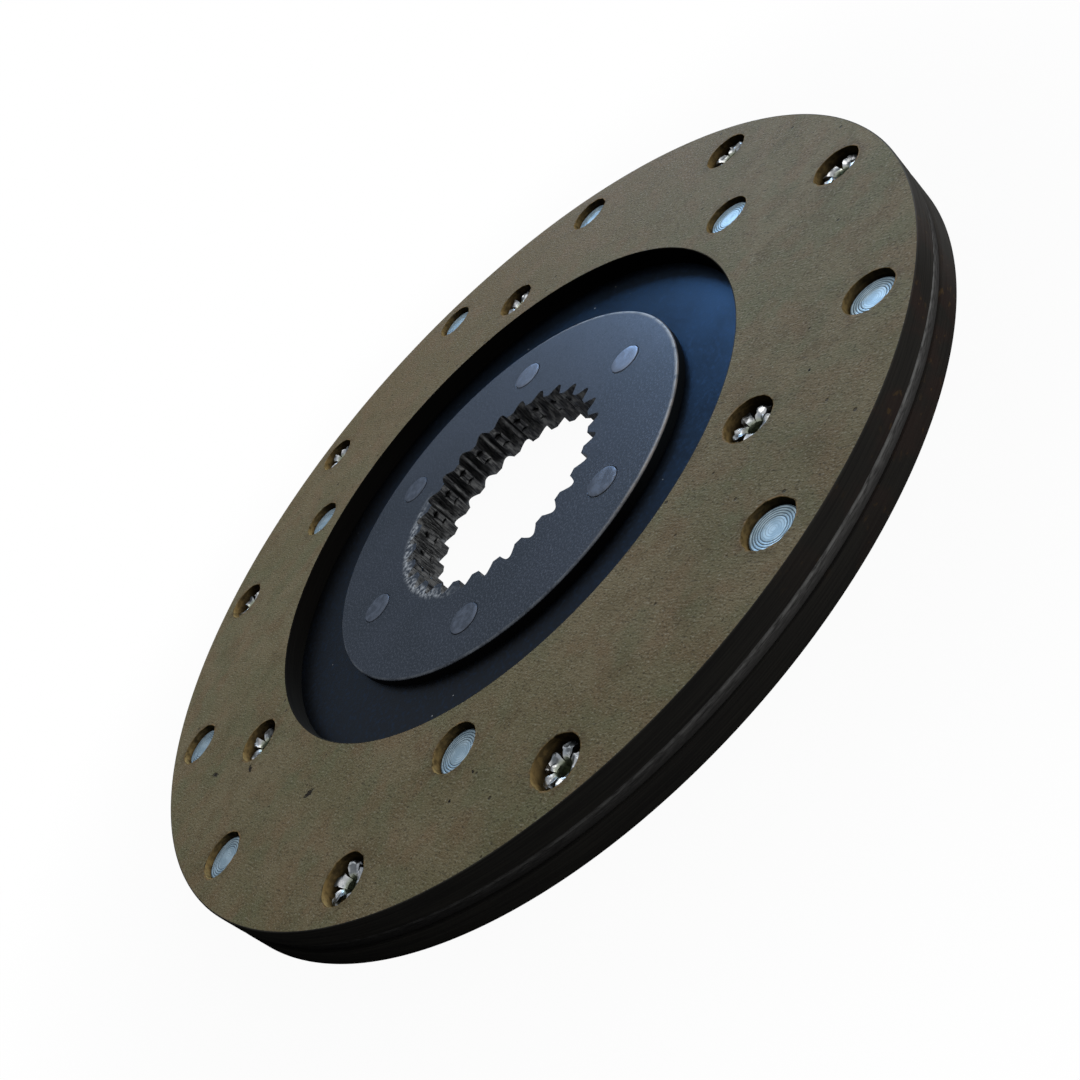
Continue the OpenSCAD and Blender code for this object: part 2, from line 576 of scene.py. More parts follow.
class Surface:
    """The node tree of one finish, which is laid on coat by coat."""

    def __init__(self, name: str, ground: str) -> None:
        """Starts a material, with the place on the disc in millimetres at hand.

        Args:
            name: Its name.
            ground: The colour under all others.
        """
        self.material = bpy.data.materials.new(name)
        self.material.use_nodes = True
        self.material.node_tree.nodes.clear()
        self.add = partial(add_node, self.material.node_tree)
        self.colour: Any = ground
        at = self.add("TexCoord", out="Object")
        self.point = self.add("VectorMath", {0: at, "Scale": 1 / MM}, operation="SCALE")
        self.x, self.y, self.z = self.add("SeparateXYZ", [self.point]).node.outputs
        flat = self.add("CombineXYZ", [self.x, self.y])
        self.radius = self.add("VectorMath", [flat], "Value", operation="LENGTH")
        self.height = self.add("Math", [self.z], operation="ABSOLUTE")

    def grain(
        self,
        size: float,
        stretch: tuple[float, float, float] = (1, 1, 1),
        detail: float = 2.0,
        shift: float = 0.0,
        turn: float = 0.0,
    ) -> Socket:
        """A pattern of grains of a real size.

        Args:
            size: Size of a grain in millimetres.
            stretch: How much longer the grains are along each axis.
            detail: Octaves of finer grain on it.
            shift: Moves the pattern, so that two of them differ.
            turn: Turns the long way of the grains from X towards Y, in radians.

        Returns:
            The pattern, about 0.5 on average.
        """
        place = self.add(
            "Mapping",
            {
                "Vector": self.point,
                "Location": (shift, shift, shift),
                "Rotation": (0.0, 0.0, turn),
                "Scale": tuple(size * s for s in stretch),
            },
            vector_type="TEXTURE",
        )
        return self.add("TexNoise", {"Vector": place, "Scale": 1.0, "Detail": detail})

    def spots(self, place: Socket, spacing: float, channel: int) -> tuple[Socket, Socket]:
        """Scatters one spot in each cell of a pattern.

        Args:
            place: Where the pattern is read.
            spacing: Distance from one spot to the next.
            channel: Which of three draws to use, so that two kinds of spot differ.

        Returns:
            The distance from the nearest spot as a share of the spacing, and what that spot
            has drawn, from 0 to 1.
        """
        cell = self.add("TexVoronoi", {"Vector": place, "Scale": 1 / spacing}, "Distance")
        return cell, self.add("SeparateColor", [cell.node.outputs["Color"]], channel)

    def towards(self, azimuth: float) -> Socket:
        """How far a point lies towards one side of the disc.

        Args:
            azimuth: That side, as an angle from X towards Y in radians.

        Returns:
            The distance from the middle in millimetres, negative on the other side.
        """
        way = (math.cos(azimuth), math.sin(azimuth), 0.0)
        return self.add("VectorMath", [self.point, way], "Value", operation="DOT_PRODUCT")

    def mask(self, *bands: Band, share: float = 1.0) -> Socket:
        """Finds where several patterns agree.

        Args:
            bands: Each pattern, with the value where it starts and the one where it is full.
            share: How strong the mask is at most.

        Returns:
            The mask, from 0 to its share.
        """
        found = None
        for pattern, start, full in bands:
            band = [pattern, start, full, 0.0, share]
            step = self.add("MapRange", band, interpolation_type="SMOOTHSTEP")
            found = step if found is None else self.add("Math", [found, step], operation="MULTIPLY")
            share = 1.0
        return found

    def lay(self, colour: str, *bands: Band, share: float = 1.0) -> Socket:
        """Lays a colour over the finish where several patterns agree.

        Args:
            colour: The colour.
            bands: Each pattern, with the value where it starts and the one where it is full.
            share: How much the colour covers at most.

        Returns:
            The mask that it was laid on with.
        """
        where = self.mask(*bands, share=share)
        self.colour = self.add("Mix", {0: where, 6: self.colour, 7: colour}, 2, data_type="RGBA")
        return where

    def close(
        self, rough: Band, reliefs: Sequence[tuple[Socket, float]], **inputs: Any
    ) -> bpy.types.Material:
        """Ends the finish in a principled shader.

        Args:
            rough: A pattern, with the roughness at its 0 and the one at its 1.
            reliefs: Patterns of height, each with its depth in millimetres.
            inputs: The shader's other inputs, with underscores for spaces.

        Returns:
            The material.
        """
        for height, depth in reliefs:
            under = {"Normal": inputs["Normal"]} if "Normal" in inputs else {}
            inputs["Normal"] = self.add("Bump", {"Height": height, "Distance": depth * MM, **under})
        pattern, smoothest, roughest = rough
        inputs["Roughness"] = self.add("MapRange", [pattern, 0.0, 1.0, smoothest, roughest])
        inputs["Base_Color"] = self.colour
        named = {key.replace("_", " "): value for key, value in inputs.items()}
        self.add("OutputMaterial", [self.add("BsdfPrincipled", named)])
        return self.material


def hole_distance(s: Surface, pattern: RivetPattern) -> Socket:
    """The distance to the nearest lining rivet, found in the one group that all are turned to.

    Args:
        s: The finish that needs it.
        pattern: The circles of rivets.

    Returns:
        The distance in millimetres.
    """
    turn = s.add("Math", [s.y, s.x], operation="ARCTAN2")
    turn = s.add("Math", [turn, math.tau / pattern.groups], operation="FLOORED_MODULO")
    along = s.add("Math", [s.radius, s.add("Math", [turn], operation="COSINE")], operation="MULTIPLY")
    across = s.add("Math", [s.radius, s.add("Math", [turn], operation="SINE")], operation="MULTIPLY")
    folded = s.add("CombineXYZ", [along, across])
    nearest = None
    for x, y in [*pattern.group(0), pattern.group(1)[0]]:
        away = s.add("VectorMath", [folded, (x, y, 0.0)], "Value", operation="DISTANCE")
        nearest = away if nearest is None else s.add("Math", [nearest, away], operation="MINIMUM")
    return nearest


@dataclass(frozen=True)
class Gouge:
    """A ragged hollow in a face: its middle, its length and width, and its way in degrees."""

    x: float
    y: float
    long: float
    wide: float
    turn: float


@dataclass(frozen=True)
class GroundFriction:
    """Moulded resin composite with short fibres, ground flat on a belt.

    The ground face is a dull taupe with fine dark tears along the way of the belt, cloudy
    patches of olive and russet, small pits, a few gouges, and brown stains round the holes.
    """

    taupe: str = "#736850"
    olive: str = "#5d5a40"
    moss: str = "#5f6148"
    umber: str = "#564a33"
    russet: str = "#715b44"
    dark_fleck: str = "#383229"
    pale_fleck: str = "#8c8674"
    stain: str = "#4a3b29"
    raw_fibre: str = "#866b49"
    side_shade: str = "#645438"
    side_shade_azimuth: float = math.radians(0)
    gouge: str = "#19140e"
    belt: float = math.radians(53)
    nick_slant: float = 0.5
    gouges: tuple[Gouge, ...] = (
        Gouge(-69.2, 44.1, 3.0, 1.8, 99.0),
        Gouge(-42.9, 85.2, 3.2, 1.2, 59.0),
        Gouge(-48.9, 70.3, 2.6, 1.2, 29.0),
        Gouge(-93.8, -0.9, 1.1, 0.7, 30.0),
        Gouge(-89.8, -6.2, 1.0, 0.6, 30.0),
        Gouge(-38.1, -83.9, 0.9, 0.6, 130.0),
    )
    gouge_z: float = DiscSizes.face_z
    pattern: RivetPattern = RivetPattern()

    def material(self) -> bpy.types.Material:
        """Builds the finish.

        Returns:
            The material.
        """
        s = Surface("ground_friction_composite", self.taupe)
        hole = hole_distance(s, self.pattern)
        # Clouds of 24 and 10 mm, patches of 11, 8 and 2.2 mm, and painted shade that makes one side
        # darker and browner
        s.lay(self.olive, (s.grain(24, detail=5), 0.4, 0.62), share=0.5)
        s.lay(self.umber, (s.grain(10, detail=5, shift=90), 0.5, 0.7), share=0.5)
        s.lay(self.moss, (s.grain(11, detail=4, shift=140), 0.47, 0.62), share=0.4)
        s.lay(self.side_shade, (s.towards(self.side_shade_azimuth), 10.0, 115.0), share=0.85)
        s.lay(self.russet, (s.grain(8, detail=4, shift=40), 0.48, 0.66), share=0.4)
        s.lay(self.umber, (s.grain(2.2, detail=4, shift=47), 0.5, 0.68), share=0.3)
        # Tears of 1.8 x 0.5 mm left by the belt, and 0.45 mm filler grains
        tears = s.grain(0.5, (3.6, 1, 1), detail=3, shift=7, turn=self.belt)
        filler = s.grain(0.45, (1.3, 1, 1), detail=3, shift=3, turn=self.belt)
        s.lay(self.dark_fleck, (tears, 0.56, 0.76), share=0.6)
        s.lay(self.dark_fleck, (filler, 0.54, 0.72), share=0.75)
        s.lay(self.pale_fleck, (filler, 0.44, 0.28), share=0.7)
        s.lay(self.pale_fleck, (tears, 0.4, 0.24), share=0.4)
        # Resin soaked out round the drilled holes, and torn fibre at their mouths
        s.lay(self.stain, (hole, 8.5, 5.4), (s.grain(3.2, shift=61), 0.42, 0.66), share=0.6)
        s.lay(self.raw_fibre, (hole, 6.15, 5.65), (s.grain(2.6, shift=23), 0.48, 0.6), share=0.8)
        # Pits of about 0.7 mm, one in every 6 mm
        away, draw = s.spots(s.point, 6, 0)
        hollows = [s.lay(self.dark_fleck, (away, 0.09, 0.05), (draw, 0.45, 0.5), share=0.85)]
        # Nicks of about 2 x 0.8 mm, one in every 24 mm along the belt and 10 mm across it
        along = {"Rotation": (0.0, 0.0, self.belt + self.nick_slant), "Scale": (24.0, 10.0, 10.0)}
        place = s.add("Mapping", {"Vector": s.point, **along}, vector_type="TEXTURE")
        away, draw = s.spots(place, 1, 2)
        ragged = s.add("Math", [filler, 0.07, away], operation="MULTIPLY_ADD")
        hollows.append(s.lay(self.dark_fleck, (ragged, 0.1, 0.075), (draw, 0.72, 0.76), share=0.85))
        # Six deeper gouges that the front face has, each where it is, long and ragged
        for gouge in self.gouges:
            oval = {
                "Location": (gouge.x, gouge.y, self.gouge_z),
                "Rotation": (0.0, 0.0, math.radians(gouge.turn)),
                "Scale": (gouge.long / 2, gouge.wide / 2, 1.0),
            }
            place = s.add("Mapping", {"Vector": s.point, **oval}, vector_type="TEXTURE")
            away = s.add("VectorMath", [place], "Value", operation="LENGTH")
            ragged = s.add("Math", [filler, 2.6, away], operation="MULTIPLY_ADD")
            hollows.append(s.lay(self.gouge, (ragged, 2.3, 1.95)))
        level = s.add("Math", [tears, -0.4, filler], operation="MULTIPLY_ADD")
        for hollow in hollows:
            level = s.add("Math", [level, hollow], operation="SUBTRACT")
        return s.close((filler, 0.6, 0.85), [(level, 0.17)], Specular_IOR_Level=0.05)


@dataclass(frozen=True)
class CutFriction:
    """The same composite where it was turned or drilled.

    The turned rims are charred nearly black with fine rings and a few rusty spots, with a
    painted sheen and a painted highlight on the side towards the lamps, and painted shade on
    the far side of the inner rim. The drilled walls are brown with torn fibre, painted dark
    as shade on one side, pale as light on the other, and darker towards the bottom as shade.
    """

    char: str = "#2b2a29"
    char_grey: str = "#353431"
    char_sheen: str = "#403e3b"
    char_highlight: str = "#5c5b59"
    light_azimuth: float = math.radians(-78)
    rust: str = "#463733"
    ochre: str = "#6b5638"
    rust_and_sheen_azimuth: float = math.radians(-75)
    dust_and_shade_azimuth: float = math.radians(31)
    dust_and_shade: str = "#0c0b0a"
    wall_brown: str = "#5e5037"
    wall_fibre: str = "#8d774d"
    wall_scorch_and_shade: str = "#2b261d"
    wall_painted_shade: str = "#0f0d0a"
    wall_painted_light: str = "#a58c5c"
    wall_lit_azimuth: float = math.radians(-59)
    sizes: DiscSizes = DiscSizes()
    pattern: RivetPattern = RivetPattern()

    def material(self) -> bpy.types.Material:
        """Builds the finish.

        Returns:
            The material.
        """
        s = Surface("turned_friction_composite", self.char)
        inner_r, hole_r, face_z = self.sizes.inner_r, self.sizes.counterbore_r, self.sizes.face_z
        # Turning marks 0.3 mm apart round the rim
        lines = s.grain(0.3, (60, 60, 1), detail=4, shift=5)
        s.lay(self.char_grey, (lines, 0.35, 0.7))
        # Painted sheen: the turning marks are paler on the side towards the lamps, where the rust
        # lies too
        rust_and_sheen_side = s.towards(self.rust_and_sheen_azimuth)
        s.lay(self.char_sheen, (lines, 0.1, 0.5), (rust_and_sheen_side, 20.0, 100.0), share=0.5)
        # Rusty clouds of 9 mm with ochre spots of 1.2 mm
        rusty = ((rust_and_sheen_side, 30.0, 95.0), (s.grain(9, detail=3, shift=11), 0.46, 0.66))
        s.lay(self.rust, *rusty, share=0.5)
        s.lay(self.ochre, *rusty, (s.grain(1.2, (2, 2, 1), shift=17), 0.6, 0.7), share=0.6)
        # Painted highlight along the outer rim on the side towards the lamps
        light_side = s.towards(self.light_azimuth)
        s.lay(self.char_highlight, (light_side, 98.0, 111.0), (lines, 0.2, 0.5), share=0.8)
        # Brake dust packed on the inner rim, with painted shade that makes its far side nearly black
        inner_rim = (s.radius, inner_r + 0.5, inner_r + 0.3)
        s.lay(self.dust_and_shade, inner_rim, (s.towards(self.dust_and_shade_azimuth), -55.0, 30.0), share=0.85)
        # Brown walls of the drilled holes, with fibre ends of about 1 mm and dark blotches
        in_hole = (hole_distance(s, self.pattern), hole_r + 0.4, hole_r + 0.2)
        s.lay(self.wall_brown, in_hole)
        s.lay(self.wall_fibre, in_hole, (s.grain(1.1, (1, 1, 0.6), shift=31), 0.4, 0.66), share=0.6)
        s.lay(self.wall_scorch_and_shade, in_hole, (s.grain(1.6, detail=3, shift=37), 0.52, 0.72), share=0.6)
        # Each wall is painted dark as shade where it faces away from the lamps, and pale as light
        # where it faces them
        inward = (-math.cos(self.wall_lit_azimuth), -math.sin(self.wall_lit_azimuth), 0.0)
        normal = s.add("TexCoord", out="Normal")
        side = s.add("VectorMath", [normal, inward], "Value", operation="DOT_PRODUCT")
        torn = (s.grain(1.3, detail=3, shift=81), 0.3, 0.6)
        s.lay(self.wall_painted_light, in_hole, (side, -0.1, -0.9), torn, share=0.6)
        # Painted shade: the walls darken towards the bottom of the holes
        s.lay(self.wall_scorch_and_shade, in_hole, (s.height, face_z - 1.0, face_z - 2.8), share=0.75)
        s.lay(self.wall_painted_shade, in_hole, (side, -0.2, 0.7), share=0.8)
        return s.close((lines, 0.6, 0.85), [(lines, 0.04)], Specular_IOR_Level=0.0)


@dataclass(frozen=True)
class BroachedTeeth:
    """The broached bore, the same on the three plates.

    It is dark gunmetal with marks along the teeth, paler towards one side of the bore, with
    burrs at the ends of the grooves that carry a painted glint.
    """

    tooth: str = "#1f2023"
    tooth_pale: str = "#6b6c6c"
    dirt: str = "#0b0b0c"
    burr_glint: str = "#a8acb0"
    spline: Spline = Spline()
    joint_z: float = DiscSizes.core_z
    pale_azimuth: float = math.radians(128)
    burr_glint_azimuth: float = math.radians(108)

    def lay_on(self, s: Surface, top: float) -> Socket:
        """Lays the finish of the bore over that of a plate.

        Args:
            s: The plate's finish.
            top: Height of the face that keeps the plate's colour.

        Returns:
            The height of the marks, from 0 to 1.
        """
        root_r, tip_r = self.spline.root_r, self.spline.tip_r
        bore = ((s.radius, root_r + 0.3, root_r + 0.05), (s.height, top - 0.03, top - 0.1))
        # Broach marks 0.4 mm apart, and paler patches of 1.5 mm towards one side of the bore
        marks = s.grain(0.4, (1, 1, 7), detail=3, shift=27)
        s.lay(self.tooth, *bore)
        pale_side = s.towards(self.pale_azimuth)
        patches = s.grain(1.5, (1, 1, 1.6), detail=3, shift=19)
        s.lay(self.tooth_pale, *bore, (marks, 0.3, 0.8), (pale_side, -50.0, 22.0), share=0.85)
        s.lay(self.tooth_pale, *bore, (patches, 0.46, 0.66), (pale_side, -70.0, 22.0), share=0.7)
        # Dirt in the nicks at the middle of each crest, where the front plate meets the core
        pitch = math.tau / self.spline.teeth
        turn = s.add("Math", [s.y, s.x], operation="ARCTAN2")
        turn = s.add("Math", [turn, -self.spline.first_groove])
        turn = s.add("Math", [turn, pitch], operation="FLOORED_MODULO")
        across = s.add("Math", [turn, tip_r, -pitch / 2 * tip_r], operation="MULTIPLY_ADD")
        nick = s.add("CombineXYZ", [across, s.add("Math", [s.z, -self.joint_z])])
        nick = s.add("VectorMath", [nick], "Value", operation="LENGTH")
        s.lay(self.dirt, *bore, (s.radius, tip_r + 1.2, tip_r + 0.9), (nick, 1.2, 0.6), share=0.9)
        # A band of burrs of 1.1 mm round one side of the groove ends, with a painted glint on them
        s.lay(
            self.burr_glint,
            (s.radius, root_r - 2.2, root_r - 1.0),
            (s.radius, root_r + 1.6, root_r + 0.1),
            (s.height, top - 1.8, top - 0.2),
            (s.grain(1.1, detail=4, shift=71), 0.38, 0.7),
            (s.towards(self.burr_glint_azimuth), 16.0, 28.0),
            share=0.75,
        )
        return s.mask(*bore, (marks, 0.2, 0.8))


@dataclass(frozen=True)
class BluedSteel:
    """Cold rolled steel sheet, oil blackened to a deep satin blue.

    The oxide gives a navy sheen with cloudy darker areas, painted greyer away from the lamps,
    so that its blue on the lit side is painted light. The turned rim of the plate shows grey
    steel in fine rings, paler towards its top, with one bright line from wear that carries a
    painted highlight, and dust from the linings; painted shade makes it black on its far side.
    """

    navy: str = "#1a212b"
    slate: str = "#181c22"
    grey: str = "#242527"
    bright: str = "#222f42"
    rim: str = "#7b7a79"
    rim_dark: str = "#4a4948"
    rim_highlight_line: str = "#a9a9a7"
    rim_shade: str = "#161616"
    dust: str = "#a9adb0"
    edge_tint: str = "#b8bcc2"
    lit_side_azimuth: float = math.radians(-55)
    sizes: DiscSizes = DiscSizes()
    teeth: BroachedTeeth = BroachedTeeth()

    def material(self) -> bpy.types.Material:
        """Builds the finish.

        Returns:
            The material.
        """
        s = Surface("blued_cold_rolled_steel", self.navy)
        # Clouds of 18 mm, rolled grain of 0.9 mm, and painted light: the oxide is greyer away from
        # the lamps and bluer towards them
        s.lay(self.slate, (s.grain(18, detail=4), 0.38, 0.66), share=0.7)
        s.lay(self.grey, (s.towards(self.lit_side_azimuth), 40.0, -55.0), share=0.9)
        mottle = s.grain(0.9, detail=4, shift=9)
        s.lay(self.bright, (mottle, 0.45, 0.8), share=0.5)
        # Specks of dust of about 0.3 mm, drawn at 0.4 mm so that they show
        away, draw = s.spots(s.point, 5, 1)
        s.lay(self.dust, (away, 0.055, 0.03), (draw, 0.52, 0.54), share=0.55)
        # Short turning marks 0.25 mm apart on the rim, paler towards its top, and a line bright from
        # wear with a painted highlight on it
        on_rim = (s.radius, self.sizes.core_r - 1.2, self.sizes.core_r - 0.4)
        lines = s.grain(0.25, (9, 9, 1), detail=4, shift=5)
        wear_and_highlight = s.grain(3.0, (1, 1, 0.3), detail=4, shift=33)
        s.lay(self.rim_dark, on_rim)
        s.lay(self.rim, on_rim, (lines, 0.3, 0.7), (s.z, -1.6, 1.0))
        s.lay(self.rim_highlight_line, on_rim, (s.z, 0.35, 0.6), (s.z, 1.2, 0.8), (wear_and_highlight, 0.3, 0.6), share=0.6)
        # Painted shade: the rim is nearly black on the side away from the lamps
        s.lay(self.rim_shade, on_rim, (s.towards(self.lit_side_azimuth), 50.0, -110.0), share=0.9)
        marks = self.teeth.lay_on(s, self.sizes.face_z)
        ridges = s.mask(on_rim, (lines, 0.2, 0.8))
        # Dust from the linings lies on the rim, so it does not shine as metal
        bare = s.add("MapRange", [s.mask(on_rim), 0.0, 1.0, 1.0, 0.0])
        return s.close(
            (mottle, 0.33, 0.43),
            [(mottle, 0.01), (ridges, 0.04), (marks, 0.08)],
            Metallic=bare,
            Specular_IOR_Level=0.0,
            Specular_Tint=self.edge_tint,
        )


@dataclass(frozen=True)
class HubSteel:
    """Blanked steel plate, hardened, with a satin grey blue scale.

    The face has a fine even grain, the bevel is a little brighter from wear and a painted
    highlight, with a painted glint along one side of it, and the wall below is painted nearly
    black as shade, paler on the lit side.
    """

    satin: str = "#34383f"
    shade: str = "#31353b"
    pale: str = "#4d525b"
    lit: str = "#454a53"
    rubbed_and_highlight: str = "#7b8188"
    glint: str = "#6e6b69"
    sheared_wall_lit: str = "#2f3336"
    sheared_wall_shade: str = "#131314"
    edge_tint: str = "#bcc0c6"
    glint_azimuth: float = math.radians(-75)
    lit_azimuth: float = math.radians(-20)
    sizes: DiscSizes = DiscSizes()
    teeth: BroachedTeeth = BroachedTeeth()

    def material(self, top: float) -> bpy.types.Material:
        """Builds the finish.

        Args:
            top: Height of the plate's outer face above the middle of the disc.

        Returns:
            The material.
        """
        s = Surface(f"satin_hub_steel_{top:.1f}", self.satin)
        # Clouds of 14 mm, and a scale of 0.5 mm
        s.lay(self.shade, (s.grain(14, detail=4), 0.36, 0.66))
        s.lay(self.lit, (s.towards(self.lit_azimuth), 0.0, 50.0), share=0.5)
        scale = s.grain(0.5, detail=4, shift=5)
        s.lay(self.pale, (scale, 0.46, 0.7), share=0.75)
        s.lay(self.shade, (s.grain(0.7, detail=4, shift=29), 0.5, 0.72), share=0.7)
        # The bevel is a little brighter from wear with a painted highlight, and a painted glint runs
        # along its lit side
        edge = (s.radius, self.sizes.hub_r - 0.55, self.sizes.hub_r - 0.35)
        upper = (s.height, top - 0.5, top - 0.3)
        wear_and_highlight = s.lay(self.rubbed_and_highlight, edge, upper, (s.grain(4, detail=3, shift=15), 0.3, 0.7), share=0.25)
        bright_side = s.towards(self.glint_azimuth)
        s.lay(
            self.glint,
            (s.radius, self.sizes.hub_r - 1.1, self.sizes.hub_r - 0.45),
            upper,
            (bright_side, 12.0, 40.0),
            (s.grain(2.5, detail=4, shift=52), 0.2, 0.55),
            share=0.85,
        )
        # Painted shade: the outer wall is laid nearly black, and paler on the lit side
        outside = (s.radius, self.sizes.hub_r - 0.3, self.sizes.hub_r - 0.1)
        wall = (outside, (s.height, top - 0.3, top - 0.6))
        s.lay(self.sheared_wall_shade, *wall)
        s.lay(self.sheared_wall_lit, *wall, (bright_side, 22.0, 48.0))
        marks = self.teeth.lay_on(s, top)
        # The bevel was filed, which leaves it duller than the face
        filed = s.add("Math", [s.mask(edge), scale, wear_and_highlight], operation="ADD")
        return s.close(
            (filed, 0.4, 0.56),
            [(scale, 0.02), (marks, 0.08)],
            Metallic=1.0,
            Specular_Tint=self.edge_tint,
        )


@dataclass(frozen=True)
class HammeredSteel:
    """Mild steel rivet end, hammered flush: smoother and a little paler than the plate."""

    face: str = "#4f5560"
    shade: str = "#41464f"
    lit: str = "#646c7b"
    lit_azimuth: float = math.radians(-50)
    edge_tint: str = "#bcc0c6"

    def material(self) -> bpy.types.Material:
        """Builds the finish.

        Returns:
            The material.
        """
        s = Surface("hammered_mild_steel", self.shade)
        # Dents of 1.6 mm and a skin of 0.4 mm
        dents = s.grain(1.6, detail=3)
        skin = s.grain(0.4, detail=3, shift=8)
        s.lay(self.face, (dents, 0.36, 0.66))
        s.lay(self.lit, (s.towards(self.lit_azimuth), 5.0, 42.0), share=0.6)
        reliefs = [(dents, 0.03), (skin, 0.015)]
        return s.close((skin, 0.38, 0.52), reliefs, Metallic=1.0, Specular_Tint=self.edge_tint)


@dataclass(frozen=True)
class ZincPlate:
    """Zinc plated soft steel: cool silver, crinkled where the tube was split and curled."""

    silver: str = "#acaeb1"
    blue: str = "#7f858c"
    tarnish: str = "#3b4044"
    dull: str = "#505457"
    hollow: str = "#8b9182"
    grime: str = "#4a4a41"
    head: str = "#768996"
    head_pale: str = "#8b9da9"
    groove: str = "#3a4652"
    edge_tint: str = "#d0d4d8"
    groove_pitch: float = 0.55
    groove_from: float = 2.6

    def material(self) -> bpy.types.Material:
        """Builds the finish.

        Returns:
            The material.
        """
        s = Surface("zinc_plated_steel", self.silver)
        # Bluish patches of 2.4 mm, a skin of 0.35 mm and dark tarnish of 2.6 mm
        patches = s.grain(2.4, detail=3)
        skin = s.grain(0.35, detail=3, shift=6)
        s.lay(self.blue, (patches, 0.38, 0.64))
        s.lay(self.dull, (skin, 0.55, 0.75), share=0.6)
        s.lay(self.tarnish, (s.grain(2.6, detail=2, shift=77), 0.48, 0.6), share=0.75)
        # The hollow inside the tube is painted pale as light, and painted shade darkens the petals
        # where they lie low
        hollow, grime, ring = (
            s.add("Attribute", out="Fac", attribute_name=name) for name in (HOLLOW, LOW_SHADE, TURNED_R)
        )
        s.lay(self.hollow, (hollow, 0.0, 1.0))
        s.lay(self.grime, (grime, 0.1, 0.9), share=0.8)
        # The head was faced with a form tool: rings 0.55 mm apart, darker in their grooves from a
        # little dirt and painted shade
        on_head = (ring, 0.01, 0.03)
        s.lay(self.head, on_head)
        s.lay(self.head_pale, on_head, (patches, 0.4, 0.62))
        turn = math.tau / self.groove_pitch
        wave = s.add("Math", [ring, turn, -self.groove_from * turn], operation="MULTIPLY_ADD")
        crest = (s.add("Math", [wave], operation="SINE"), 0.1, 0.9)
        outer_rings = (ring, self.groove_from - 0.5, self.groove_from + 0.1)
        groove = s.lay(self.groove, crest, outer_rings, share=0.85)
        s.lay(self.groove, crest, (ring, 0.3, 0.7), (patches, 0.3, 0.6), share=0.4)
        cut = s.add("Math", [1.0, groove], operation="SUBTRACT")
        dull = s.add("Math", [s.mask(on_head), 0.6, skin], operation="MULTIPLY_ADD")
        reliefs = [(skin, 0.02), (cut, 0.02)]
        return s.close((dull, 0.1, 0.6), reliefs, Metallic=1.0, Specular_Tint=self.edge_tint)


# Sub-assemblies


